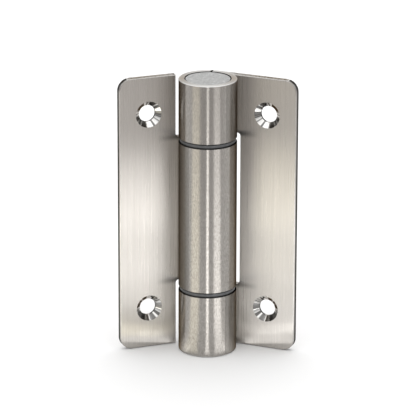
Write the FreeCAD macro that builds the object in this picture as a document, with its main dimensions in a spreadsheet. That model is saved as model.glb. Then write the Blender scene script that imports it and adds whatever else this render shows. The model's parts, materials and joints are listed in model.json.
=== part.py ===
import FreeCAD, Part
import Sketcher
import os
import re
from FreeCAD import Placement, Rotation, Vector

# Rise and fall hinge for a cubicle door, lengths in millimetres and angles in degrees.
# The barrel stands on Z with its lower end at Z = 0. The frame leaf runs out along +X with its
# back face at +Y, and the door leaf runs out towards -X, swung towards -Y by rest_swing.

doc = FreeCAD.newDocument("rise_and_fall_hinge")

# Driving dimensions

SIZES = (
    ("hinge_height", 100, "height of the barrel and of both leaves"),
    ("barrel_diameter", 20.5, "outside of the knuckles"),
    ("bore_diameter", 16.4, "bore through the knuckles"),
    ("upper_knuckle", 21.2, "height of the frame leaf's upper knuckle"),
    ("lower_knuckle", 22.4, "height of the frame leaf's lower knuckle"),
    ("ring_gap", 1.5, "gap between two knuckles"),
    ("plate_thickness", 2.5, "thickness of both leaves"),
    ("plate_reach", 29.9, "barrel axis to a leaf's outer edge"),
    ("notch_reach", 9.05, "barrel axis to a leaf's free inner edge"),
    ("corner_radius", 4.3, "outer corners of the leaves"),
    ("notch_radius", 1.1, "inside corners of the notches"),
    ("edge_round", 0.3, "rounding of the leaves' front and back edges"),
    ("knuckle_chamfer", 0.2, "chamfer round the ends of the knuckles"),
    ("hole_diameter", 6, "fixing holes"),
    ("sink_diameter", 9.4, "countersinks at the front face"),
    ("hole_reach", 19.1, "barrel axis to the holes"),
    ("hole_height", 14.5, "lower end to the lower hole"),
    ("hole_spacing", 72, "distance between the two holes of a leaf"),
    ("rest_swing", 43, "door leaf's swing from the closed, flat position"),
    ("ring_thickness", 1.2, "flange of a bush, seen between two knuckles"),
    ("ring_diameter", 19.7, "outside of a bush's flange"),
    ("bush_sleeve", 4, "sleeve of a bush inside the middle knuckle"),
    ("press_gap", 0.04, "between a pressed-in piece and its bore"),
    ("running_gap", 0.1, "between the shaft and what turns on it"),
    ("slide_gap", 0.3, "between the follower and the middle knuckle's bore"),
    ("thrust_gap", 0.12, "between faces that turn on each other"),
    ("shaft_diameter", 10, "journals of the shaft"),
    ("shaft_flats", 8.6, "across the flats of the shaft's hexagon"),
    ("flats_gap", 0.08, "between the shaft's flats and a hexagon hole"),
    ("anchor_length", 13, "sockets that hold the shaft's ends"),
    ("anchor_inset", 0.6, "knuckle's inner end to its socket"),
    ("key_width", 2, "keys that stop the cam and the sockets from turning in their knuckles"),
    ("key_height", 1.6, "keys, across the joint between two pieces"),
    ("key_inset", 1.5, "end of a socket to its key"),
    ("plug_thickness", 3, "end plugs of the barrel"),
    ("plug_recess", 0.15, "top plug's face below the upper end of the barrel"),
    ("plug_gap", 0.14, "between a plug's relieved rim and the bore"),
    ("plug_land", 1.4, "length of a plug's relieved rim"),
    ("plug_chamfer", 0.25, "chamfer round a plug's face"),
    ("clip_thickness", 1, "retaining rings of the shaft"),
    ("clip_diameter", 13, "outside of the retaining rings"),
    ("clip_play", 0.3, "between a retaining ring and the bush next to it"),
    ("clip_mouth", 6.4, "mouth of a retaining ring"),
    ("groove_depth", 0.6, "grooves for the retaining rings"),
    ("washer_thickness", 1, "thrust washer and spring seat"),
    ("washer_diameter", 15.4, "outside of the thrust washer and spring seat"),
    ("cam_base", 5, "plain part of the cam under its ramps"),
    ("cam_pitch", 18, "rise of the ramps in one whole turn"),
    ("ramp_angle", 174, "length of one ramp round the axis"),
    ("ramp_step", 0.5, "low end of a ramp above the plain part"),
    ("follower_base", 6, "plain part of the follower over its ramps"),
    ("spring_wire", 1.5, "wire of the spring"),
    ("spring_diameter", 14.6, "outside of the spring"),
    ("spring_turns", 4.5, "turns of the spring"),
)

sheet = doc.addObject("Spreadsheet::Sheet", "Sizes")
for row, (alias, amount, note) in enumerate(SIZES, 1):
    sheet.set(f"A{row}", note)
    sheet.set(f"B{row}", str(amount))
    sheet.setAlias(f"B{row}", alias)
doc.recompute()

# Heights that several pieces share, from the lower end of the barrel up
UPPER_Z = "(hinge_height - upper_knuckle)"
MIDDLE_Z = "(lower_knuckle + ring_gap)"
MIDDLE_TOP = f"({UPPER_Z} - ring_gap)"
RING_PLAY = "((ring_gap - ring_thickness) / 2)"
LOW_CLIP_Z = f"({MIDDLE_Z} + bush_sleeve + clip_play)"
WASHER_Z = f"({LOW_CLIP_Z} + clip_thickness)"
CAM_Z = f"({WASHER_Z} + washer_thickness + thrust_gap)"
RAMP_Z = f"({CAM_Z} + cam_base + ramp_step)"
RAMP_RISE = "(cam_pitch * ramp_angle / 360)"
RAMP_DEPTH = f"({RAMP_RISE} + 2 * ramp_step)"
LIFT = "(cam_pitch * rest_swing / 360)"
FOLLOWER_Z = f"({RAMP_Z} + {RAMP_RISE} + ramp_step + thrust_gap)"
FOLLOWER_TOP = f"({FOLLOWER_Z} + follower_base)"
SEAT_Z = f"({MIDDLE_TOP} - bush_sleeve - clip_play - clip_thickness - washer_thickness)"
TOP_CLIP_Z = f"({SEAT_Z} + washer_thickness)"
LOW_ANCHOR_Z = "(lower_knuckle - anchor_inset - anchor_length)"
TOP_ANCHOR_Z = f"({UPPER_Z} + anchor_inset)"
SHAFT_TOP = f"({TOP_ANCHOR_Z} + anchor_length)"

# Places and diameters that several pieces share
BACK_Y = "(barrel_diameter / 2)"
FRONT_Y = f"({BACK_Y} - plate_thickness)"
SINK_DEPTH = "((sink_diameter - hole_diameter) / 2)"
PRESSED = "(bore_diameter - 2 * press_gap)"
RUNNING = "(shaft_diameter + 2 * running_gap)"
SLIDING = "(bore_diameter - 2 * slide_gap)"
SOCKET = "(shaft_flats + 2 * flats_gap)"
GROOVE = "(shaft_flats - 2 * groove_depth)"
KEY_LOW_Y = "(bore_diameter / 2 - key_height / 2)"
KEY_HIGH_Y = "(bore_diameter / 2 + key_height / 2)"
KEY_LENGTH = "(anchor_length - 2 * key_inset)"

# How far a cutting solid runs past what it cuts, and how close two lengths count as equal
OVERCUT = 1
CLOSE = 1e-4

ALIASES = {alias for alias, _, _ in SIZES}


def size(text):
    """The same expression with every driving dimension named in full."""
    return re.sub(r"[a-z_]+", lambda word: f"Sizes.{word[0]}" if word[0] in ALIASES else word[0], text)


def number(text):
    """The present value of an expression, for a rough place or a test."""
    return float(doc.Sizes.evalExpression(size(text)))


def bind(item, **expressions):
    """Ties properties of a document object to the driving dimensions."""
    for name, text in expressions.items():
        item.setExpression(name.replace("__", "."), size(text))
    return item


# Solids that start at a height z and stand on the barrel's axis

def primitive(kind, name, z, **expressions):
    item = doc.addObject(f"Part::{kind}", name)
    return bind(item, Placement__Base__z=z, **expressions)


def cylinder(name, diameter, height, z):
    return primitive("Cylinder", name, z, Radius=f"({diameter}) / 2", Height=height)


def cone(name, low, high, height, z):
    return primitive("Cone", name, z, Radius1=f"({low}) / 2", Radius2=f"({high}) / 2", Height=height)


def hexagon(name, flats, height, z):
    item = primitive("Prism", name, z, Circumradius=f"({flats}) / sqrt(3)", Height=height)
    item.Polygon = 6
    return item


def box(name, x, y, z, across, along, height):
    """A box from its lowest corner up."""
    item = primitive("Box", name, z, Length=across, Width=along, Height=height)
    return bind(item, Placement__Base__x=x, Placement__Base__y=y)


def fuse(name, *items):
    item = doc.addObject("Part::MultiFuse", name)
    item.Shapes = list(items)
    return item


def two_item(kind, name, base, tool):
    item = doc.addObject(f"Part::{kind}", name)
    item.Base = base
    item.Tool = tool
    return item


def cut(name, base, tool):
    return two_item("Cut", name, base, tool)


def common(name, base, tool):
    return two_item("Common", name, base, tool)


def tube(name, outer, inner, height, z):
    """A ring or sleeve, its bore cut past both ends."""
    body = cylinder(f"{name}_outside", outer, height, z)
    bore = cylinder(f"{name}_bore", inner, f"{height} + {2 * OVERCUT}", f"{z} - {OVERCUT}")
    return cut(name, body, bore)


# Sketches

def new_sketch(body, name, role, **offsets):
    """A sketch on one of the body's own origin planes, moved off it by expressions."""
    plane = next(item for item in body.Origin.OriginFeatures if item.Role == role)
    sketch = body.newObject("Sketcher::SketchObject", name)
    sketch.AttachmentSupport = (plane, "")
    sketch.MapMode = "FlatFace"
    bind(sketch, **{f"AttachmentOffset__Base__{axis}": text for axis, text in offsets.items()})
    return sketch


def draw_polygon(sketch, corners):
    """A closed outline of straight lines, each corner tied to two expressions."""
    rough = [(number(across), number(up)) for across, up in corners]
    for index, corner in enumerate(rough):
        following = rough[(index + 1) % len(rough)]
        sketch.addGeometry(Part.LineSegment(Vector(*corner, 0), Vector(*following, 0)), False)
    for index in range(len(corners)):
        following = (index + 1) % len(corners)
        sketch.addConstraint(Sketcher.Constraint("Coincident", index, 2, following, 1))
    for index, corner in enumerate(corners):
        for place, (kind, axis) in enumerate((("DistanceX", -2), ("DistanceY", -1))):
            if corner[place] == "0":
                sketch.addConstraint(Sketcher.Constraint("PointOnObject", index, 1, axis))
            else:
                constraint = Sketcher.Constraint(kind, -1, 1, index, 1, rough[index][place])
                datum = sketch.addConstraint(constraint)
                sketch.setExpression(f"Constraints[{datum}]", size(corner[place]))


def draw_key_section(sketch, half_width, high):
    """A rectangle that straddles the +Y side of the barrel's bore."""
    left, right = f"-1 * {half_width}", half_width
    draw_polygon(sketch, ((left, KEY_LOW_Y), (right, KEY_LOW_Y), (right, high), (left, high)))


def draw_circle(sketch, diameter):
    rough = number(diameter)
    sketch.addGeometry(Part.Circle(Vector(0, 0, 0), Vector(0, 0, 1), rough / 2), False)
    sketch.addConstraint(Sketcher.Constraint("Coincident", 0, 3, -1, 1))
    datum = sketch.addConstraint(Sketcher.Constraint("Diameter", 0, rough))
    sketch.setExpression(f"Constraints[{datum}]", size(diameter))


# Leaves, each a plate in one piece with its knuckles

def is_close(one, other):
    return abs(one - other) < CLOSE


def runs_across(edge):
    """Whether an edge is straight and runs through the plate's thickness."""
    return edge.Curve.TypeId == "Part::GeomLine" and is_close(abs(edge.Curve.Direction.y), 1)


def round_edges(body, name, radius, wanted):
    """A fillet on the edges of the body's last feature that wanted picks out."""
    base = body.Tip
    edges = enumerate(base.Shape.Edges, 1)
    item = body.newObject("PartDesign::Fillet", name)
    item.Base = (base, [f"Edge{index}" for index, edge in edges if wanted(edge)])
    bind(item, Radius=radius)
    doc.recompute()


def cut_along_axis(body, name, low, high, draw, *sizes):
    """Cuts an outline from the body between two heights."""
    sketch = new_sketch(body, f"{name}_outline", "XY_Plane", z=low)
    draw(sketch, *sizes)
    pocket = body.newObject("PartDesign::Pocket", name)
    pocket.Profile = sketch
    pocket.Reversed = True
    bind(pocket, Length=f"{high} - {low}")
    doc.recompute()


def make_leaf(name, side, outline, knuckles, keyways):
    """A leaf that runs out along +X (side 1) or -X (side -1), with its back face at +Y.

    outline holds the plate's corners as distances out from the axis and up, knuckles the height
    of each knuckle's two ends, and keyways the same for each keyway in the bore."""
    body = doc.addObject("PartDesign::Body", name)

    plate_sketch = new_sketch(body, f"{name}_outline", "XZ_Plane", z=f"-1 * {BACK_Y}")
    draw_polygon(plate_sketch, [(f"{side} * {out}" if out != "0" else out, up) for out, up in outline])
    plate = body.newObject("PartDesign::Pad", f"{name}_plate")
    plate.Profile = plate_sketch
    bind(plate, Length="plate_thickness")
    doc.recompute()

    def at_outer_corner(edge):
        return runs_across(edge) and is_close(abs(edge.CenterOfMass.x), number("plate_reach"))

    def at_notch_corner(edge):
        inside = OVERCUT < edge.CenterOfMass.z < number("hinge_height") - OVERCUT
        at_edge = is_close(abs(edge.CenterOfMass.x), number("notch_reach"))
        return runs_across(edge) and inside and at_edge

    def on_free_rim(edge):
        """Front and back edges of the plate, apart from those that run into a knuckle."""
        centre = edge.CenterOfMass
        on_face = any(is_close(edge.BoundBox.YMin, number(y)) for y in (BACK_Y, FRONT_Y))
        flat = edge.BoundBox.YLength < CLOSE
        return on_face and flat and abs(centre.x) >= number("notch_reach") - CLOSE

    round_edges(body, f"{name}_corners", "corner_radius", at_outer_corner)
    round_edges(body, f"{name}_notches", "notch_radius", at_notch_corner)
    round_edges(body, f"{name}_rims", "edge_round", on_free_rim)

    for index, (low, high) in enumerate(knuckles, 1):
        section = new_sketch(body, f"{name}_knuckle_section_{index}", "XZ_Plane")
        draw_polygon(section, (
            ("0", low),
            (f"{BACK_Y} - knuckle_chamfer", low),
            (BACK_Y, f"{low} + knuckle_chamfer"),
            (BACK_Y, f"{high} - knuckle_chamfer"),
            (f"{BACK_Y} - knuckle_chamfer", high),
            ("0", high),
        ))
        knuckle = body.newObject("PartDesign::Revolution", f"{name}_knuckle_{index}")
        knuckle.Profile = section
        knuckle.ReferenceAxis = (section, ["V_Axis"])
        knuckle.Angle = 360
        doc.recompute()

    bore_top = f"hinge_height + {OVERCUT}"
    cut_along_axis(body, f"{name}_bore", f"(-{OVERCUT})", bore_top, draw_circle, "bore_diameter")
    keyway = ("(key_width / 2 + press_gap)", f"{KEY_HIGH_Y} + press_gap")
    for index, (low, high) in enumerate(keyways, 1):
        cut_along_axis(body, f"{name}_keyway_{index}", low, high, draw_key_section, *keyway)

    # One countersunk hole, turned about its own axis, and its copy further up the leaf
    section = new_sketch(body, f"{name}_hole_section", "XY_Plane", x=f"{side} * hole_reach", z="hole_height")
    draw_polygon(section, (
        ("0", f"{FRONT_Y} - {OVERCUT}"),
        ("sink_diameter / 2", f"{FRONT_Y} - {OVERCUT}"),
        ("sink_diameter / 2", FRONT_Y),
        ("hole_diameter / 2", f"{FRONT_Y} + {SINK_DEPTH}"),
        ("hole_diameter / 2", f"{BACK_Y} + {OVERCUT}"),
        ("0", f"{BACK_Y} + {OVERCUT}"),
    ))
    hole = body.newObject("PartDesign::Groove", f"{name}_hole")
    hole.Profile = section
    hole.ReferenceAxis = (section, ["V_Axis"])
    hole.Angle = 360
    doc.recompute()
    holes = body.newObject("PartDesign::LinearPattern", f"{name}_holes")
    holes.Originals = [hole]
    holes.Direction = (section, ["N_Axis"])
    holes.Occurrences = 2
    bind(holes, Length="hole_spacing")
    body.Tip = holes
    doc.recompute()
    return body


frame_leaf = make_leaf(
    "frame_leaf",
    1,
    (
        ("0", "0"),
        ("plate_reach", "0"),
        ("plate_reach", "hinge_height"),
        ("0", "hinge_height"),
        ("0", UPPER_Z),
        ("notch_reach", UPPER_Z),
        ("notch_reach", "lower_knuckle"),
        ("0", "lower_knuckle"),
    ),
    (("0", "lower_knuckle"), (UPPER_Z, "hinge_height")),
    ((f"({LOW_ANCHOR_Z} + key_inset)", "lower_knuckle"), (UPPER_Z, f"{SHAFT_TOP} - key_inset")),
)

door_leaf = make_leaf(
    "door_leaf",
    -1,
    (
        ("plate_reach", "0"),
        ("notch_reach", "0"),
        ("notch_reach", MIDDLE_Z),
        ("0", MIDDLE_Z),
        ("0", MIDDLE_TOP),
        ("notch_reach", MIDDLE_TOP),
        ("notch_reach", "hinge_height"),
        ("plate_reach", "hinge_height"),
    ),
    ((MIDDLE_Z, MIDDLE_TOP),),
    ((MIDDLE_Z, f"{CAM_Z} + cam_base"),),
)


def swing_with_door(item):
    """Turns a piece of the door's side about the barrel's axis to its place at rest."""
    item.Placement = Placement(Vector(0, 0, 0), Rotation(Vector(0, 0, 1), 1))
    return bind(item, Placement__Rotation__Angle="rest_swing")


swing_with_door(door_leaf)


# Bushes, whose flanges are the rings between the knuckles; their sleeves sit in the middle one

def make_bush(name, flange_z, sleeve_z):
    flange = cylinder(f"{name}_flange", "ring_diameter", "ring_thickness", flange_z)
    sleeve = cylinder(f"{name}_sleeve", PRESSED, f"bush_sleeve + {RING_PLAY}", sleeve_z)
    bore = cylinder(f"{name}_bore", RUNNING, "hinge_height", "0")
    return cut(name, fuse(f"{name}_outside", flange, sleeve), bore)


lower_bush = make_bush("lower_bush", f"lower_knuckle + {RING_PLAY}", f"{MIDDLE_Z} - {RING_PLAY}")
upper_bush = make_bush("upper_bush", f"{MIDDLE_TOP} + {RING_PLAY}", f"{MIDDLE_TOP} - bush_sleeve")


# Shaft, a hexagonal bar with round journals in the bushes, and a groove for each retaining ring

def make_shaft():
    bar = hexagon("shaft_bar", "shaft_flats", f"{SHAFT_TOP} - {LOW_ANCHOR_Z}", LOW_ANCHOR_Z)
    low_journal = cylinder(
        "shaft_low_journal", "shaft_diameter", f"{LOW_CLIP_Z} - lower_knuckle", "lower_knuckle"
    )
    cam_journal = cylinder("shaft_cam_journal", "shaft_diameter", f"{RAMP_Z} - {WASHER_Z}", WASHER_Z)
    top_journal = cylinder(
        "shaft_top_journal", "shaft_diameter", f"{UPPER_Z} - {TOP_CLIP_Z} - clip_thickness",
        f"{TOP_CLIP_Z} + clip_thickness"
    )
    round_bar = fuse("shaft_round", bar, low_journal, cam_journal, top_journal)
    past_shaft = f"shaft_diameter + {2 * OVERCUT}"
    low_groove = tube("shaft_low_groove", past_shaft, GROOVE, "clip_thickness", LOW_CLIP_Z)
    top_groove = tube("shaft_top_groove", past_shaft, GROOVE, "clip_thickness", TOP_CLIP_Z)
    return cut("shaft", round_bar, fuse("shaft_grooves", low_groove, top_groove))


shaft = make_shaft()


# Retaining rings, open on one side so that they snap into the shaft's grooves

def make_clip(name, z):
    ring = tube(f"{name}_ring", "clip_diameter", f"{GROOVE} + 2 * press_gap", "clip_thickness", z)
    mouth = box(
        f"{name}_mouth", "0", "-1 * clip_mouth / 2", f"{z} - {OVERCUT}",
        "clip_diameter", "clip_mouth", f"clip_thickness + {2 * OVERCUT}"
    )
    return cut(name, ring, mouth)


lower_clip = make_clip("lower_clip", LOW_CLIP_Z)
upper_clip = make_clip("upper_clip", TOP_CLIP_Z)


# Washers, one under the cam and one over the spring

thrust_washer = tube("thrust_washer", "washer_diameter", RUNNING, "washer_thickness", WASHER_Z)
spring_seat = tube("spring_seat", "washer_diameter", RUNNING, "washer_thickness", SEAT_Z)


# Keys, half in a knuckle's wall and half in the piece inside, so that neither turns on the other

def make_key(name, z, length):
    body = doc.addObject("PartDesign::Body", name)
    sketch = new_sketch(body, f"{name}_section", "XY_Plane", z=z)
    draw_key_section(sketch, "(key_width / 2)", KEY_HIGH_Y)
    bar = body.newObject("PartDesign::Pad", f"{name}_bar")
    bar.Profile = sketch
    bind(bar, Length=length)
    return body


def key_slot(name, z, length):
    """The room that a key needs in the piece inside the knuckle."""
    side = "(key_width + 2 * press_gap)"
    depth = f"key_height / 2 + press_gap + {OVERCUT}"
    return box(name, f"-1 * {side} / 2", f"{KEY_LOW_Y} - press_gap", z, side, depth, length)


cam_key = swing_with_door(make_key("cam_key", CAM_Z, "cam_base"))
lower_key = make_key("lower_key", f"{LOW_ANCHOR_Z} + key_inset", KEY_LENGTH)
upper_key = make_key("upper_key", f"{TOP_ANCHOR_Z} + key_inset", KEY_LENGTH)


# Cam and follower, which meet on two helical ramps that climb clockwise, seen from above

def sweep(name, section, helix):
    helix.SegmentLength = 0
    item = doc.addObject("Part::Sweep", name)
    item.Sections = [section]
    item.Spine = (helix, ["Edge1"])
    item.Solid = True
    item.Frenet = True
    return item


def make_ramp(name, side, z):
    """A band with a helical face above and below, on the +X or -X side (side 1 or -1) of the axis."""
    upright = Rotation(Vector(1, 0, 0), 90)
    turned = Rotation(Vector(0, 0, 1), 0 if side == 1 else 180)
    section = doc.addObject("Part::Plane", f"{name}_section")
    section.Placement = Placement(Vector(0, 0, 0), turned * upright)
    inner = f"(shaft_diameter / 2 - {OVERCUT})"
    bind(section, Length=f"bore_diameter / 2 + {OVERCUT} - {inner}", Width=RAMP_DEPTH)
    bind(section, Placement__Base__x=f"{side} * {inner}", Placement__Base__z=z)
    helix = doc.addObject("Part::Helix", f"{name}_helix")
    helix.LocalCoord = "Left-handed"
    helix.Placement = Placement(Vector(0, 0, 0), turned)
    bind(helix, Pitch="cam_pitch", Height=RAMP_RISE, Radius="bore_diameter / 2", Placement__Base__z=z)
    return sweep(name, section, helix)


def make_helical(name, diameter, base, ramp_z, low, height, bore):
    """A plain round base with two ramps, trimmed to the piece's own envelope and bored."""
    ramps = [make_ramp(f"{name}_ramp_{place}", side, ramp_z) for place, side in enumerate((1, -1), 1)]
    envelope = cylinder(f"{name}_envelope", diameter, height, low)
    body = common(f"{name}_body", fuse(f"{name}_blank", base, *ramps), envelope)
    return cut(name, body, bore)


cam = make_helical(
    "cam",
    PRESSED,
    cylinder("cam_plain", PRESSED, "cam_base", CAM_Z),
    f"{RAMP_Z} - {RAMP_DEPTH}",
    CAM_Z,
    f"cam_base + ramp_step + {RAMP_RISE}",
    fuse(
        "cam_cuts",
        cylinder("cam_bore", RUNNING, "hinge_height", "0"),
        key_slot("cam_key_slot", f"{CAM_Z} - {OVERCUT}", f"cam_base + {OVERCUT}"),
    ),
)
follower = make_helical(
    "follower",
    SLIDING,
    cylinder("follower_plain", SLIDING, "follower_base", f"{FOLLOWER_Z} + {LIFT}"),
    f"{RAMP_Z} + thrust_gap + {LIFT}",
    f"{RAMP_Z} + thrust_gap + {LIFT}",
    f"{FOLLOWER_TOP} - {RAMP_Z} - thrust_gap",
    hexagon("follower_bore", SOCKET, "hinge_height", "0"),
)
swing_with_door(cam)


# Spring, a wire coil between the follower and its seat, ground flat at both ends

def make_spring():
    low = f"({FOLLOWER_TOP} + {LIFT})"
    room = f"({SEAT_Z} - {low})"
    wire_low = f"({low} + spring_wire / 4)"
    travel = f"({room} - spring_wire / 2)"
    radius = "((spring_diameter - spring_wire) / 2)"
    helix = doc.addObject("Part::Helix", "spring_line")
    bind(helix, Height=travel, Pitch=f"{travel} / spring_turns", Radius=radius)
    bind(helix, Placement__Base__z=wire_low)
    wire = doc.addObject("Part::Circle", "spring_section")
    wire.Placement = Placement(Vector(0, 0, 0), Rotation(Vector(1, 0, 0), 90))
    bind(wire, Radius="spring_wire / 2", Placement__Base__x=radius, Placement__Base__z=wire_low)
    coil = sweep("spring_coil", wire, helix)
    space = tube("spring_room", "bore_diameter", "shaft_diameter", room, low)
    return common("spring", coil, space)


spring = make_spring()


# Sockets pressed into the short knuckles, which keep the shaft from turning

def make_anchor(name, z):
    block = cylinder(f"{name}_block", PRESSED, "anchor_length", z)
    socket = hexagon(f"{name}_socket", SOCKET, "hinge_height", "0")
    slot = key_slot(f"{name}_key_slot", f"{z} + key_inset", KEY_LENGTH)
    return cut(name, block, fuse(f"{name}_cuts", socket, slot))


lower_anchor = make_anchor("lower_anchor", LOW_ANCHOR_Z)
upper_anchor = make_anchor("upper_anchor", TOP_ANCHOR_Z)


# End plugs, pressed in at their inner end and relieved behind a chamfered face

def make_plug(name):
    """A plug that runs up from its face, at Z = 0."""
    rim = "(bore_diameter - 2 * plug_gap)"
    chamfer = cone(f"{name}_chamfer", f"{rim} - 2 * plug_chamfer", rim, "plug_chamfer", "0")
    land = cylinder(f"{name}_land", rim, "plug_land - plug_chamfer", "plug_chamfer")
    body = cylinder(f"{name}_body", PRESSED, "plug_thickness - plug_land", "plug_land")
    return fuse(name, chamfer, land, body)


bottom_plug = make_plug("bottom_plug")
top_plug = make_plug("top_plug")
top_plug.Placement = Placement(Vector(0, 0, 0), Rotation(Vector(1, 0, 0), 180))
bind(top_plug, Placement__Base__z="hinge_height - plug_recess")


# Every piece, by the name of its node
PIECES = {
    "frame_leaf": frame_leaf,
    "door_leaf": door_leaf,
    "upper_bush": upper_bush,
    "lower_bush": lower_bush,
    "shaft": shaft,
    "lower_clip": lower_clip,
    "upper_clip": upper_clip,
    "thrust_washer": thrust_washer,
    "spring_seat": spring_seat,
    "cam": cam,
    "follower": follower,
    "spring": spring,
    "lower_anchor": lower_anchor,
    "upper_anchor": upper_anchor,
    "cam_key": cam_key,
    "lower_key": lower_key,
    "upper_key": upper_key,
    "bottom_plug": bottom_plug,
    "top_plug": top_plug,
}
for label, piece in PIECES.items():
    piece.Label = label

doc.recompute()
for item in doc.Objects:
    faults = [state for state in item.State if state in ("Invalid", "Error")]
    if faults:
        raise RuntimeError(f"{item.Name}: {faults}")
for label, piece in PIECES.items():
    if piece.Shape.isNull() or not piece.Shape.isValid():
        raise RuntimeError(f"{label} has no valid shape")

os.makedirs("parts", exist_ok=True)
for label, piece in PIECES.items():
    piece.Shape.exportStep(f"parts/{label}.step")
    print(f"{label}: {len(piece.Shape.Solids)} solid, {piece.Shape.Volume:.1f} mm3")
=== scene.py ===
import bpy
import json
import math
from mathutils import Matrix, Vector


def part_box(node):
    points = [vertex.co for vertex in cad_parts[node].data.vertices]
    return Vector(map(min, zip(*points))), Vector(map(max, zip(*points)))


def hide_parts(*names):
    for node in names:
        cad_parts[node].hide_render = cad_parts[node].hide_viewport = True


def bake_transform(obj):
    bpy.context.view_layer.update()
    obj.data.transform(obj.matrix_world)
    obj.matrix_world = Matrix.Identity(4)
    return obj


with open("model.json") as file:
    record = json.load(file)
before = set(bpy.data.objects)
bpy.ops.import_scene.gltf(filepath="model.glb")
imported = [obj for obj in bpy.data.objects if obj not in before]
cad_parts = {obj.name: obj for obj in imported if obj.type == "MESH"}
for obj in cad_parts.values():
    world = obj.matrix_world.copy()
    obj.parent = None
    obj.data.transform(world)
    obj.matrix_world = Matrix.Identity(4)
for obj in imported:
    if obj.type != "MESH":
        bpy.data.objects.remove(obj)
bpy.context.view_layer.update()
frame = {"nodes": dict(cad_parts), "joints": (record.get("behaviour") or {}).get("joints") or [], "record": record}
nodes = frame["nodes"]

# How finely a box is read: to a hundredth of a millimetre
BOX_DECIMALS = 5


def corners(node):
    """Low and high corner of a node of the frame."""
    return [[round(value, BOX_DECIMALS) for value in corner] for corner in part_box(node)]


def named(entries, name):
    """The entry of a list in the record that has this name."""
    return next(entry for entry in entries if entry["name"] == name)


# Sizes that the frame gives, in metres
_, (PLATE_REACH, BARREL_RADIUS, HINGE_HEIGHT) = corners("frame_leaf")
_, (PLUG_RADIUS, _, _) = corners("top_plug")
(_, _, LOWER_FLANGE), _ = corners("lower_bush")
_, (_, _, UPPER_FLANGE) = corners("upper_bush")
HOLES = named(frame["record"]["mounts"], "frame_holes")
HOLE_REACH, _, HOLE_MIDDLE = HOLES["pos_m"]
HOLE_HALF_SPACING = HOLES["dims"]["spacing_y_mm"] / 1000 / 2
REST_SWING = -math.radians(named(frame["joints"], "door_swing")["range_deg"][0])

# Sizes of the solids that no box shows, in metres
BORE_RADIUS = 0.0082
PLATE_THICKNESS = 0.0025
PLATE_FRONT = BARREL_RADIUS - PLATE_THICKNESS
SINK_RADIUS = 0.0047
NOTCH_REACH = 0.00905
FRAME_NOTCH_ENDS = (0.0224, 0.0788)
DOOR_NOTCH_ENDS = (0.0239, 0.0773)
FLANGE_HEIGHT = 0.0012
FLANGE_FACES = (LOWER_FLANGE, LOWER_FLANGE + FLANGE_HEIGHT, UPPER_FLANGE - FLANGE_HEIGHT, UPPER_FLANGE)

# Camera of the photograph, in metres from the barrel's foot and in pixels of the square image
IMAGE = 420
FOCAL = 3311.6
SENSOR_WIDTH = 36
CAMERA_AZIMUTH = math.radians(22.375)
CAMERA_ASIDE = 0.00084
CAMERA_DISTANCE = 1.1
CAMERA_HEIGHT = 0.432916
CAMERA_PITCH = math.radians(19.118)
CAMERA_ROLL = math.radians(0.179)
CLIP_START = 0.05
CLIP_END = 20

# How far a mask reaches past the surface that it holds
BARREL_SKIN = 0.00004
BORE_SKIN = 0.00001
SINK_SKIN = 0.00003

# Shares of a normal along z or y that tell flat ends, end edges and plate faces from the rest
FLAT_END_FACING = 0.7
END_EDGE_FACING = 0.96
PLATE_FACING = 0.5

# Sheared side edges have a bright burr at the front, which ends between these depths
BURR_DEPTH = (0.0006, 0.0009)

# Painted reflection of the dark barrel: smudges beside the ends of the notches
REFLECTION_SMUDGE_HALF_WIDTH = 0.0017
REFLECTION_SMUDGE_LENGTH = 0.0075
REFLECTION_SMUDGE_STRENGTH = 0.7

# Rubbed borders of the plates, ragged between two widths
RUBBED_WIDTH = (0.00005, 0.0003)
RUBBED_STRENGTH = 0.5

# Distances from the barrel's edge between which its rims turn to a painted highlight
RIM_HIGHLIGHT_REACH = (0.0007, 0.0003)

# Flat faces of the barrel that are deeper in than this lie beside a ring and get painted shade
RIM_DEPTH = 0.001

# Punch mark on the upper rim, longer along y, painted dark as the shade in its dimple
PUNCH_MARK = (-0.00217, 0.00875, HINGE_HEIGHT)
MARK_STRETCH = (1, 0.4, 1)
MARK_RADIUS = (0.0004, 0.0005)

# Painted shadow lines beside the faces of a flange, the width of a plug's chamfer with painted shade and glints,
# and of the painted shadow of its gap
FLANGE_SHADE = 0.00022
PLUG_CHAMFER_WIDTH = 0.00035
PLUG_GAP_WIDTH = 0.00012

# Levels of noise between which a colour or a finish changes
WIDE = (0.3, 0.7)
MIDDLE = (0.35, 0.65)
SIDE_EDGE_WEAR = (0.45, 0.75)
END_EDGE_STAIN = (0.5, 0.7)
SECTOR_BORDER = (0.44, 0.54)
SCRATCH = (0.66, 0.7)
CROSS_SCRATCH = (0.68, 0.72)
PAINTED_GLINT = (0.55, 0.62)
STAIN = (0.6, 0.75)
STAIN_STRENGTH = 0.6

# Stretch of the noise along x, y and z: the larger, the finer
HAIRLINES = (7000, 7000, 40)
LEAF_STREAKS = (1500, 1500, 12)
TURNING_LINES = (60, 60, 5000)
MOTTLE = (3400, 3400, 1000)
RIM_TURNING = (9000, 0, 0)
PLUG_SCRATCHES = (420, 5200, 1)
PLUG_CROSS_SCRATCHES = (5600, 380, 1)
ALONG_BAR = (5000, 5000, 60)
ROUND_BAR = (70, 70, 5000)
SINTERED = (4200, 4200, 4200)

# Directions of the plug's scratches, in radians, and the scale of the countersinks' chatter marks, whose sectors
# are also painted bright and dark as reflections
PLUG_SCRATCH_TURN = 0.6
PLUG_CROSS_TURN = 0.25
SECTOR_SCALE = 2.6

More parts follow.
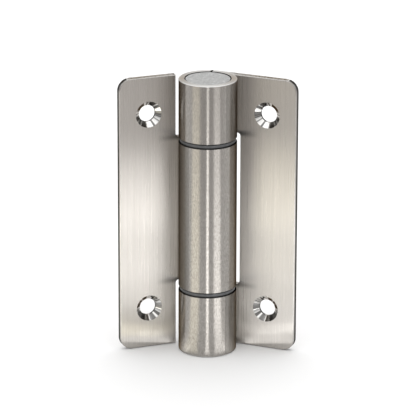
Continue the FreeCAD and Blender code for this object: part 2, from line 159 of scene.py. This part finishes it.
# Roughness, at the low and at the high end of its noise
LEAF_ROUGH = (0.26, 0.33)
BARREL_ROUGH = (0.21, 0.28)
EDGE_ROUGH = (0.35, 0.5)
RIM_ROUGH = (0.3, 0.42)
SINK_ROUGH = (0.08, 0.16)
PLUG_ROUGH = (0.42, 0.62)
SCRATCH_ROUGH = 0.3
CHAMFER_ROUGH = 0.25
RING_ROUGH = (0.38, 0.6)
CAM_ROUGH = (0.32, 0.5)
SHAFT_ROUGH = (0.26, 0.42)
WASHER_ROUGH = (0.3, 0.45)
SPRING_ROUGH = (0.28, 0.5)
SOCKET_ROUGH = (0.45, 0.65)
FLOOR_ROUGH = 0.9

# Depth of the bumps in metres, and their strength
GRAIN_DEPTH = 0.00002
SECTOR_DEPTH = 0.00025
SCRATCH_DEPTH = 0.00001
LEAF_GRAIN = 0.12
SECTOR_GRAIN = 0.6
PLUG_GRAIN = 0.35
SCRATCH_GRAIN = 0.5
RING_GRAIN = 0.4
BAR_GRAIN = 0.3

# Colours, each as a base and what its grain or wear turns it into
LEAF_COLOUR = (0.52, 0.495, 0.465, 1)
LEAF_STREAK = (0.483, 0.46, 0.43, 1)
BARREL_COLOUR = (0.39, 0.37, 0.345, 1)
BARREL_MOTTLE = (0.31, 0.292, 0.27, 1)
RIM_COLOUR = (0.74, 0.735, 0.72, 1)
RIM_LINE = (0.6, 0.59, 0.575, 1)
RIM_PAINTED_HIGHLIGHT = (0.82, 0.815, 0.8, 1)
# Side edges are painted near black as a painted dark reflection, which the worn colour lightens at random
SIDE_EDGE_PAINTED_SHADE = (0.07, 0.068, 0.064, 1)
SIDE_EDGE_PAINTED_SHADE_WORN = (0.16, 0.156, 0.15, 1)
BURR_COLOUR = (0.42, 0.41, 0.395, 1)
# Painted reflection of the barrel, for the smudges beside the notch ends
PAINTED_REFLECTION_COLOUR = (0.08, 0.076, 0.07, 1)
END_EDGE_COLOUR = (0.66, 0.65, 0.63, 1)
END_EDGE_DARK = (0.2, 0.196, 0.19, 1)
# Countersinks' sectors are painted bright and dark, as painted reflections of their facets
SINK_COLOUR = (0.8, 0.79, 0.77, 1)
SINK_PAINTED_SHADE = (0.17, 0.166, 0.16, 1)
# Near black: painted shade in the bore, beside the rings, in the punch mark and in the plug's gap and chamfer
PAINTED_SHADE_COLOUR = (0.045, 0.044, 0.042, 1)
# Worn steel, and also the painted glints on the plug's chamfer
WORN_AND_GLINT_COLOUR = (0.75, 0.74, 0.72, 1)
GRAZING_TINT = (0.2, 0.15, 0.1, 1)
PLUG_COLOUR = (0.42, 0.42, 0.415, 1)
PLUG_CLOUD = (0.31, 0.31, 0.305, 1)
PLUG_SCRATCH = (0.68, 0.68, 0.67, 1)
NYLON_GREY = (0.068, 0.07, 0.073, 1)
NYLON_PALE = (0.092, 0.094, 0.098, 1)
NYLON_PAINTED_SHADE = (0.012, 0.013, 0.015, 1)
CAM_COLOUR = (0.71, 0.68, 0.59, 1)
CAM_CLOUD = (0.63, 0.59, 0.48, 1)
SHAFT_COLOUR = (0.5, 0.5, 0.505, 1)
SHAFT_STREAK = (0.38, 0.38, 0.385, 1)
WASHER_COLOUR = (0.52, 0.52, 0.52, 1)
WASHER_STREAK = (0.4, 0.4, 0.405, 1)
SPRING_COLOUR = (0.2, 0.2, 0.205, 1)
SPRING_STREAK = (0.12, 0.12, 0.125, 1)
SOCKET_COLOUR = (0.38, 0.375, 0.37, 1)
SOCKET_STREAK = (0.25, 0.247, 0.243, 1)

# Floor, whose colour changes between two distances in front of the barrel: painted shade darkens it there
FLOOR_SIZE = 6
FLOOR_DROP = 0.0002
FLOOR_WHITE = (0.95, 0.95, 0.95, 1)
FLOOR_FRONT_SHADE = (0.455, 0.435, 0.43, 1)
FLOOR_CHANGE = (0.08, 0.22)

# Strength of the world at the horizon and overhead
HORIZON = 0.5
ZENITH = 1.5

# Lamps: the colours of their light, and how high panels float above the frame's foot
WHITE_LIGHT = (1, 1, 1)
WARM_LIGHT = (1, 0.95, 0.76)
PANEL_RISE = 0.0005

# Distances from the barrel at which a fan's first panels begin, its dim panel's depth, and its end
FAN_ENDS = (0.012, 0.03, 0.06, 0.11)
FAN_PAUSE = 0.05
FAN_REACH = 0.5

# Panels along the feet of the leaves, and what the soft box faces
FOOT_SIZE = (0.02, 0.012)
FOOT_AHEAD = 0.001
BOX_TARGET = Vector((0, 0, 0.05))


def make_camera():
    data = bpy.data.cameras.new("camera")
    data.sensor_width = SENSOR_WIDTH
    data.lens = FOCAL * SENSOR_WIDTH / IMAGE
    data.clip_start = CLIP_START
    data.clip_end = CLIP_END
    camera = bpy.data.objects.new("camera", data)
    bpy.context.scene.collection.objects.link(camera)
    camera.matrix_world = (
        Matrix.Rotation(CAMERA_AZIMUTH, 4, "Z")
        @ Matrix.Translation((CAMERA_ASIDE, -CAMERA_DISTANCE, CAMERA_HEIGHT))
        @ Matrix.Rotation(math.pi / 2 - CAMERA_PITCH, 4, "X")
        @ Matrix.Rotation(CAMERA_ROLL, 4, "Z")
    )
    bpy.context.scene.camera = camera


# Materials

class Shader:
    """A node material that is built one node at a time."""

    def __init__(self, name):
        self.material = bpy.data.materials.new(name)
        self.material.use_nodes = True
        self.tree = self.material.node_tree
        self.bsdf = self.tree.nodes["Principled BSDF"]
        coordinates = self.node("ShaderNodeTexCoord")
        self.place = coordinates.outputs["Object"]
        self.facing = coordinates.outputs["Normal"]

    def node(self, kind, inputs=(), **settings):
        item = self.tree.nodes.new(kind)
        for key, value in settings.items():
            setattr(item, key, value)
        for key, value in dict(inputs).items():
            self.feed(item.inputs[key], value)
        return item

    def feed(self, socket, value):
        if isinstance(value, bpy.types.NodeSocket):
            self.tree.links.new(value, socket)
        else:
            socket.default_value = value

    def set(self, **values):
        for key, value in values.items():
            self.feed(self.bsdf.inputs[key.replace("_", " ")], value)

    def math(self, operation, *values):
        return self.node("ShaderNodeMath", enumerate(values), operation=operation).outputs[0]

    def add(self, first, second):
        return self.math("ADD", first, second)

    def minus(self, first, second):
        return self.math("SUBTRACT", first, second)

    def times(self, first, second):
        return self.math("MULTIPLY", first, second)

    def least(self, first, second):
        return self.math("MINIMUM", first, second)

    def size(self, value):
        return self.math("ABSOLUTE", value)

    def below(self, value, limit):
        return self.math("LESS_THAN", value, limit)

    def above(self, value, limit):
        return self.math("GREATER_THAN", value, limit)

    def without(self, mask, other):
        return self.times(mask, self.minus(1.0, other))

    def any(self, masks):
        total = masks[0]
        for mask in masks[1:]:
            total = self.math("MAXIMUM", total, mask)
        return total

    def vector(self, operation, *values):
        item = self.node("ShaderNodeVectorMath", enumerate(values), operation=operation)
        return item.outputs["Value" if operation in ("LENGTH", "DOT_PRODUCT") else "Vector"]

    def joined(self, x, y=0.0, z=0.0):
        return self.node("ShaderNodeCombineXYZ", {"X": x, "Y": y, "Z": z}).outputs[0]

    def split(self, vector):
        return self.node("ShaderNodeSeparateXYZ", {"Vector": vector}).outputs

    def length(self, x, y, z=0.0):
        """Length of the vector with these components."""
        return self.vector("LENGTH", self.joined(x, y, z))

    def turned(self, vector, angle):
        """A vector turned about the barrel's axis."""
        inputs = {"Vector": vector, "Rotation": (0, 0, angle)}
        return self.node("ShaderNodeMapping", inputs).outputs[0]

    def stretched(self, place, scale):
        inputs = {"Vector": place, "Scale": scale}
        return self.node("ShaderNodeMapping", inputs).outputs[0]

    def world_up(self):
        return self.node(
            "ShaderNodeVectorTransform", {"Vector": (0, 0, 1)},
            vector_type="VECTOR", convert_from="OBJECT", convert_to="WORLD"
        ).outputs[0]

    def noise(self, place, scale=1.0, detail=2.0, roughness=0.5):
        inputs = {"Vector": place, "Scale": scale, "Detail": detail, "Roughness": roughness}
        return self.node("ShaderNodeTexNoise", inputs).outputs["Fac"]

    def ranged(self, value, span, low, high, kind="LINEAR"):
        """Low where the value is at the start of the span, high where it is at the end."""
        start, end = span
        inputs = {"Value": value, "From Min": start, "From Max": end, "To Min": low, "To Max": high}
        return self.node("ShaderNodeMapRange", inputs, interpolation_type=kind).outputs[0]

    def mixed(self, factor, first, second, kind="RGBA"):
        """A blend of two colours, numbers or vectors."""
        item = self.node("ShaderNodeMix", data_type=kind)
        sockets = {"FLOAT": (2, 3, 0), "VECTOR": (4, 5, 1), "RGBA": (6, 7, 2)}[kind]
        self.feed(item.inputs[0], factor)
        self.feed(item.inputs[sockets[0]], first)
        self.feed(item.inputs[sockets[1]], second)
        return item.outputs[sockets[2]]

    def tinted(self, noise, span, first, second, kind="LINEAR"):
        """Two colours that change into each other along the noise."""
        return self.mixed(self.ranged(noise, span, 0, 1, kind), first, second)

    def bump(self, height, depth, strength, under=None):
        inputs = {"Strength": strength, "Distance": depth, "Height": height}
        if under:
            inputs["Normal"] = under
        return self.node("ShaderNodeBump", inputs).outputs[0]


class Steel(Shader):
    """The stainless of one leaf and its knuckles: its masks, noises and finishes."""

    def __init__(self, name, swing, notch_ends):
        super().__init__(name)
        self.own = self.turned(self.place, -swing)
        self.x, self.y, self.z = self.split(self.own)
        _, facing_y, facing_z = self.split(self.turned(self.facing, -swing))
        self.facing_y = self.size(facing_y)
        self.facing_z = self.size(facing_z)
        self.notch_ends = notch_ends
        self.find_barrel()
        self.find_plate()
        self.find_countersinks()
        self.find_punch_mark_and_painted_smudges()
        self.make_grain()

    def find_barrel(self):
        self.flat_end = self.above(self.facing_z, FLAT_END_FACING)
        self.radius = self.length(self.x, self.y)
        self.on_barrel = self.below(self.radius, BARREL_RADIUS + BARREL_SKIN)
        self.on_rim = self.times(self.on_barrel, self.flat_end)
        self.in_bore = self.below(self.radius, BORE_RADIUS + BORE_SKIN)

    def find_plate(self):
        self.out = self.size(self.x)
        self.plate_edge = self.below(self.facing_y, PLATE_FACING)
        self.side_edge = self.without(self.plate_edge, self.above(self.facing_z, END_EDGE_FACING))
        self.from_end = self.least(self.minus(HINGE_HEIGHT, self.z), self.z)

    def find_countersinks(self):
        self.across = self.minus(self.out, HOLE_REACH)
        self.up = self.minus(self.size(self.minus(self.z, HOLE_MIDDLE)), HOLE_HALF_SPACING)
        self.hole_radius = self.length(self.across, self.up)
        cone = self.add(self.hole_radius, self.size(self.minus(self.y, PLATE_FRONT)))
        self.in_sink = self.below(cone, SINK_RADIUS + SINK_SKIN)

    def find_punch_mark_and_painted_smudges(self):
        from_mark = self.vector("SUBTRACT", self.own, PUNCH_MARK)
        mark = self.split(self.vector("MULTIPLY", from_mark, MARK_STRETCH))
        self.in_mark = self.ranged(self.length(*mark), MARK_RADIUS, 1, 0)
        painted_smudges = [
            self.ranged(self.size(self.minus(self.z, end)), (0, REFLECTION_SMUDGE_HALF_WIDTH), 1, 0, "SMOOTHSTEP")
            for end in self.notch_ends
        ]
        painted_smudge_reach = (NOTCH_REACH, NOTCH_REACH + REFLECTION_SMUDGE_LENGTH)
        near_notch = self.ranged(self.out, painted_smudge_reach, REFLECTION_SMUDGE_STRENGTH, 0)
        self.painted_reflection = self.times(self.any(painted_smudges), near_notch)

    def make_grain(self):
        """Hairlines and streaks along the leaf, turning lines and mottling on the barrel."""
        self.hairlines = self.noise(self.stretched(self.own, HAIRLINES), detail=2)
        self.streaks = self.noise(self.stretched(self.own, LEAF_STREAKS), detail=3)
        self.turning = self.noise(self.stretched(self.own, TURNING_LINES), detail=2)
        self.mottle = self.noise(self.stretched(self.own, MOTTLE), detail=2, roughness=0.6)
        self.rim_lines = self.noise(self.stretched(self.joined(self.radius), RIM_TURNING), detail=1)
        around = self.joined(
            self.math("DIVIDE", self.across, self.hole_radius),
            self.math("DIVIDE", self.up, self.hole_radius)
        )
        self.sectors = self.noise(around, scale=SECTOR_SCALE, detail=1.5, roughness=0.7)

    def roughness(self):
        leaf = self.ranged(self.hairlines, WIDE, *LEAF_ROUGH)
        barrel = self.ranged(self.mottle, WIDE, *BARREL_ROUGH)
        rough = self.mixed(self.on_barrel, leaf, barrel, "FLOAT")
        for mask, noise, span in (
            (self.plate_edge, self.streaks, EDGE_ROUGH),
            (self.on_rim, self.rim_lines, RIM_ROUGH),
            (self.in_sink, self.hairlines, SINK_ROUGH)
        ):
            rough = self.mixed(mask, rough, self.ranged(noise, WIDE, *span), "FLOAT")
        return rough

    def leaf_colour(self):
        face = self.tinted(self.streaks, WIDE, LEAF_COLOUR, LEAF_STREAK)
        # Painted reflection of the dark barrel, darkening the leaf beside the ends of the notches
        face = self.mixed(self.painted_reflection, face, PAINTED_REFLECTION_COLOUR)
        end = self.tinted(self.streaks, END_EDGE_STAIN, END_EDGE_COLOUR, END_EDGE_DARK)
        # Sheared side edges: painted dark reflection, with the burr at the front
        side_with_painted_shade = self.tinted(self.streaks, SIDE_EDGE_WEAR, SIDE_EDGE_PAINTED_SHADE, SIDE_EDGE_PAINTED_SHADE_WORN)
        side_with_painted_shade = self.tinted(self.minus(self.y, PLATE_FRONT), BURR_DEPTH, BURR_COLOUR, side_with_painted_shade)
        return self.mixed(self.side_edge, self.mixed(self.plate_edge, face, end), side_with_painted_shade)

    def barrel_colour(self):
        """Mottled wall, turned rims with a painted highlight towards the edge, painted shade on the faces beside
        the rings.
        """
        wall = self.tinted(self.mottle, MIDDLE, BARREL_COLOUR, BARREL_MOTTLE)
        rim = self.tinted(self.rim_lines, WIDE, RIM_COLOUR, RIM_LINE)
        highlight_reach = [BARREL_RADIUS - width for width in RIM_HIGHLIGHT_REACH]
        # Painted highlight along the outer edge of the rims
        rim = self.tinted(self.radius, highlight_reach, rim, RIM_PAINTED_HIGHLIGHT)
        # Painted shade on the flat faces beside the rings
        shaded_beside_ring = self.times(self.on_rim, self.above(self.from_end, RIM_DEPTH))
        return self.mixed(shaded_beside_ring, self.mixed(self.on_rim, wall, rim), PAINTED_SHADE_COLOUR)

    def colour(self):
        rub = self.least(self.from_end, self.minus(PLATE_REACH, self.out))
        rubbed = self.below(rub, self.ranged(self.mottle, WIDE, *RUBBED_WIDTH))
        rubbed = self.times(self.without(rubbed, self.plate_edge), RUBBED_STRENGTH)
        # Painted reflections: countersink sectors in bright and dark colour
        sink_painted_facets = self.tinted(self.sectors, SECTOR_BORDER, SINK_COLOUR, SINK_PAINTED_SHADE, "SMOOTHSTEP")
        tint = self.mixed(self.on_barrel, self.leaf_colour(), self.barrel_colour())
        for mask, colour in (
            (rubbed, WORN_AND_GLINT_COLOUR),
            # Painted shade inside the bore and in the punch mark
            (self.in_bore, PAINTED_SHADE_COLOUR),
            (self.in_mark, PAINTED_SHADE_COLOUR),
            (self.in_sink, sink_painted_facets)
        ):
            tint = self.mixed(mask, tint, colour)
        return tint

    def relief(self):
        """Grain everywhere but in the countersinks, which have chatter marks."""
        grain = self.mixed(self.on_barrel, self.hairlines, self.turning, "FLOAT")
        grain = self.mixed(self.on_rim, grain, self.rim_lines, "FLOAT")
        grain = self.mixed(self.on_barrel, grain, self.add(grain, self.mottle), "FLOAT")
        bump = self.bump(self.without(grain, self.in_sink), GRAIN_DEPTH, LEAF_GRAIN)
        return self.bump(self.times(self.sectors, self.in_sink), SECTOR_DEPTH, SECTOR_GRAIN, bump)

    def blur(self):
        """Where reflections are drawn out: level on leaves, up the barrel, outwards on flat ends."""
        upright = self.world_up()
        normal = self.node("ShaderNodeNewGeometry").outputs["Normal"]
        level = self.vector("CROSS_PRODUCT", normal, upright)
        blur = self.mixed(self.on_barrel, level, upright, "VECTOR")
        return self.mixed(self.flat_end, blur, self.place, "VECTOR")


def make_stainless(name, swing, notch_ends):
    """Leaf brushed along its height, knuckles turned round their axis, countersinks polished."""
    steel = Steel(name, swing, notch_ends)
    steel.set(
        Base_Color=steel.colour(), Metallic=1.0, Roughness=steel.roughness(), Anisotropic=1.0,
        Specular_Tint=GRAZING_TINT, Tangent=steel.blur(), Normal=steel.relief()
    )
    return steel.material


def make_plug_steel():
    """Blasted face with fine scratches, and a chamfer with painted shade and painted glints beside the painted
    shadow of a gap.
    """
    shader = Shader("plug_steel")
    x, y, _ = shader.split(shader.place)
    radius = shader.length(x, y)
    in_chamfer = shader.above(radius, PLUG_RADIUS - PLUG_CHAMFER_WIDTH)
    in_gap = shader.above(radius, PLUG_RADIUS - PLUG_GAP_WIDTH)
    cloud = shader.noise(shader.place, scale=900, detail=4, roughness=0.6)
    speck = shader.noise(shader.place, scale=5200, detail=2)
    along = shader.stretched(shader.turned(shader.place, PLUG_SCRATCH_TURN), PLUG_SCRATCHES)
    across = shader.stretched(shader.turned(shader.place, PLUG_CROSS_TURN), PLUG_CROSS_SCRATCHES)
    scratched = shader.any([
        shader.ranged(shader.noise(along, detail=1), SCRATCH, 0, 1),
        shader.ranged(shader.noise(across, detail=1), CROSS_SCRATCH, 0, 1)
    ])
    tint = shader.tinted(cloud, MIDDLE, PLUG_COLOUR, PLUG_CLOUD)
    tint = shader.mixed(scratched, tint, PLUG_SCRATCH)
    # Painted glints and painted shade on the plug's chamfer
    tint = shader.mixed(in_chamfer, tint, shader.tinted(speck, PAINTED_GLINT, PAINTED_SHADE_COLOUR, WORN_AND_GLINT_COLOUR))
    # Painted shadow of the gap round the plug
    tint = shader.mixed(in_gap, tint, PAINTED_SHADE_COLOUR)
    rough = shader.mixed(scratched, shader.ranged(speck, WIDE, *PLUG_ROUGH), SCRATCH_ROUGH, "FLOAT")
    rough = shader.mixed(in_chamfer, rough, CHAMFER_ROUGH, "FLOAT")
    bump = shader.bump(speck, GRAIN_DEPTH, PLUG_GRAIN)
    bump = shader.bump(scratched, SCRATCH_DEPTH, SCRATCH_GRAIN, bump)
    shader.set(Base_Color=tint, Metallic=1.0, Roughness=rough, Normal=bump)
    return shader.material


def make_ring_nylon():
    """Dark grey nylon, with painted shadow along both edges of each flange, where it meets the knuckles."""
    shader = Shader("ring_nylon")
    _, _, z = shader.split(shader.place)
    # Painted shadow along the faces of each flange
    shaded = shader.any([
        shader.below(shader.size(shader.minus(z, face)), FLANGE_SHADE) for face in FLANGE_FACES
    ])
    speck = shader.noise(shader.place, scale=6000, detail=3)
    cloud = shader.noise(shader.place, scale=700, detail=2)
    tint = shader.mixed(shaded, shader.tinted(cloud, MIDDLE, NYLON_GREY, NYLON_PALE), NYLON_PAINTED_SHADE)
    rough = shader.ranged(speck, WIDE, *RING_ROUGH)
    shader.set(Base_Color=tint, Roughness=rough, Normal=shader.bump(speck, GRAIN_DEPTH, RING_GRAIN))
    return shader.material


def make_bar_steel(name, colour, streak, stretch, roughness):
    """Plain steel with drawn or turned streaks, small stains and rubbed spots."""
    shader = Shader(name)
    streaks = shader.noise(shader.stretched(shader.place, stretch), detail=3)
    stain = shader.noise(shader.place, scale=450, detail=4, roughness=0.65)
    tint = shader.tinted(streaks, WIDE, colour, streak)
    tint = shader.mixed(shader.ranged(stain, STAIN, 0, STAIN_STRENGTH), tint, WORN_AND_GLINT_COLOUR)
    rough = shader.ranged(streaks, WIDE, *roughness)
    bump = shader.bump(streaks, GRAIN_DEPTH, BAR_GRAIN)
    shader.set(Base_Color=tint, Metallic=1.0, Roughness=rough, Normal=bump)
    return shader.material


def make_cam_nylon():
    """Natural nylon, slightly clouded, with greased and polished patches."""
    shader = Shader("cam_nylon")
    cloud = shader.noise(shader.place, scale=260, detail=4)
    grain = shader.noise(shader.place, scale=5000, detail=2)
    tint = shader.tinted(cloud, MIDDLE, CAM_COLOUR, CAM_CLOUD)
    rough = shader.ranged(cloud, MIDDLE, *CAM_ROUGH)
    shader.set(Base_Color=tint, Roughness=rough, Normal=shader.bump(grain, GRAIN_DEPTH, BAR_GRAIN))
    return shader.material


# Pieces

def make_coil():
    """A copy of the spring, shown in place of the frame's own spring, which is hidden."""
    coil = bpy.data.objects.new("spring_coil", nodes["spring"].data.copy())
    bpy.context.scene.collection.objects.link(coil)
    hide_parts("spring")
    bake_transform(coil)


def dress(names, material):
    for name in names:
        mesh = nodes[name].data
        mesh.materials.clear()
        mesh.materials.append(material)


def dress_all():
    dress(["frame_leaf"], make_stainless("frame_stainless", 0.0, FRAME_NOTCH_ENDS))
    dress(["door_leaf"], make_stainless("door_stainless", REST_SWING, DOOR_NOTCH_ENDS))
    dress(["upper_bush", "lower_bush"], make_ring_nylon())
    dress(["top_plug", "bottom_plug"], make_plug_steel())
    dress(["cam", "follower"], make_cam_nylon())
    bars = (
        (["shaft", "cam_key", "lower_key", "upper_key"],
         "shaft_steel", SHAFT_COLOUR, SHAFT_STREAK, ALONG_BAR, SHAFT_ROUGH),
        (["thrust_washer", "spring_seat"],
         "washer_steel", WASHER_COLOUR, WASHER_STREAK, ROUND_BAR, WASHER_ROUGH),
        (["spring", "lower_clip", "upper_clip"],
         "spring_steel", SPRING_COLOUR, SPRING_STREAK, ROUND_BAR, SPRING_ROUGH),
        (["lower_anchor", "upper_anchor"],
         "socket_steel", SOCKET_COLOUR, SOCKET_STREAK, SINTERED, SOCKET_ROUGH)
    )
    for names, *finish in bars:
        dress(names, make_bar_steel(*finish))


# Floor, lamps and world

def ahead_of(azimuth):
    """Level direction from the barrel, in degrees from the camera's towards the picture's right."""
    angle = CAMERA_AZIMUTH + math.radians(azimuth)
    return Vector((math.sin(angle), -math.cos(angle), 0))


def make_floor():
    """A white floor under the hinge, darkened in front of it by painted shade."""
    bpy.ops.mesh.primitive_plane_add(size=FLOOR_SIZE, location=(0, 0, -FLOOR_DROP))
    floor = bpy.context.object
    floor.name = "floor"
    shader = Shader("floor")
    ahead = shader.vector("DOT_PRODUCT", shader.place, ahead_of(0))
    # Painted shade, darkening the floor in front of the barrel
    tint = shader.tinted(ahead, FLOOR_CHANGE, FLOOR_WHITE, FLOOR_FRONT_SHADE, "SMOOTHSTEP")
    shader.set(Base_Color=tint, Roughness=FLOOR_ROUGH)
    floor.data.materials.append(shader.material)


def make_lamp(name, size, depth, radiance, colour=WHITE_LIGHT):
    data = bpy.data.lights.new(name, "AREA")
    data.shape = "RECTANGLE"
    data.size = size
    data.size_y = depth
    data.energy = radiance * math.pi * size * depth
    data.color = colour
    lamp = bpy.data.objects.new(name, data)
    bpy.context.scene.collection.objects.link(lamp)
    lamp.visible_camera = False
    return lamp


def lay_down(panel, place, azimuth):
    """Lays a panel on the floor, face up, with its depth along an azimuth."""
    panel.location = place + Vector((0, 0, PANEL_RISE))
    panel.rotation_euler = (math.pi, 0, CAMERA_AZIMUTH + math.radians(azimuth))


def make_fan(name, left, right, reach, radiances, colour=WHITE_LIGHT):
    """Light panels on the floor, one behind the other, which widen with their distance."""
    middle = (left + right) / 2
    spread = 2 * math.tan(math.radians(right - left) / 2)
    ends = FAN_ENDS + (reach, reach + FAN_PAUSE, FAN_REACH)
    for step, (near, far, radiance) in enumerate(zip(ends, ends[1:], radiances), start=1):
        distance = (near + far) / 2
        panel = make_lamp(f"{name}_{step}", distance * spread, far - near, radiance, colour)
        lay_down(panel, ahead_of(middle) * distance, middle)


def make_foot(name, leaf_azimuth, heading, radiance):
    """A low panel along the foot of a leaf."""
    place = ahead_of(leaf_azimuth) * HOLE_REACH + ahead_of(heading) * FOOT_AHEAD
    lay_down(make_lamp(name, *FOOT_SIZE, radiance), place, heading)


def make_box(name, azimuth, distance, height, size, depth, radiance):
    """A soft box that faces the middle of the hinge."""
    box = make_lamp(name, size, depth, radiance)
    box.location = ahead_of(azimuth) * distance + Vector((0, 0, height))
    box.rotation_euler = (BOX_TARGET - box.location).to_track_quat("-Z", "Y").to_euler()


def make_world():
    world = bpy.data.worlds.new("studio")
    bpy.context.scene.world = world
    world.use_nodes = True
    tree = world.node_tree
    place = tree.nodes.new("ShaderNodeTexCoord")
    split = tree.nodes.new("ShaderNodeSeparateXYZ")
    ranged = tree.nodes.new("ShaderNodeMapRange")
    background = tree.nodes["Background"]
    tree.links.new(place.outputs["Generated"], split.inputs[0])
    tree.links.new(split.outputs["Z"], ranged.inputs["Value"])
    tree.links.new(ranged.outputs[0], background.inputs["Strength"])
    ranged.inputs["To Min"].default_value = HORIZON
    ranged.inputs["To Max"].default_value = ZENITH
    background.inputs["Color"].default_value = WHITE_LIGHT + (1,)


make_camera()
dress_all()
make_coil()
make_floor()
make_fan("right_fan", left=25, right=50, reach=0.201, radiances=(1.2, 1.75, 1.65, 2.1, 0.12, 0.35))
make_fan(
    "left_fan", left=-64, right=-33, reach=0.212,
    radiances=(0.7, 0.87, 0.9, 1.45, 0.15, 0.45), colour=WARM_LIGHT
)
make_fan("middle_fan", left=-4, right=4, reach=0.199, radiances=(1.4, 2.2, 3.2, 4.0, 0.8, 0.8))
make_box("back_box", 180, distance=0.8, height=0.35, size=0.7, depth=0.25, radiance=0.9)
make_foot("frame_foot", leaf_azimuth=67.6, heading=-44.7, radiance=0.75)
make_foot("door_foot", leaf_azimuth=-69.4, heading=41.3, radiance=0.65)
make_world()
bpy.context.scene.view_settings.view_transform = "Standard"
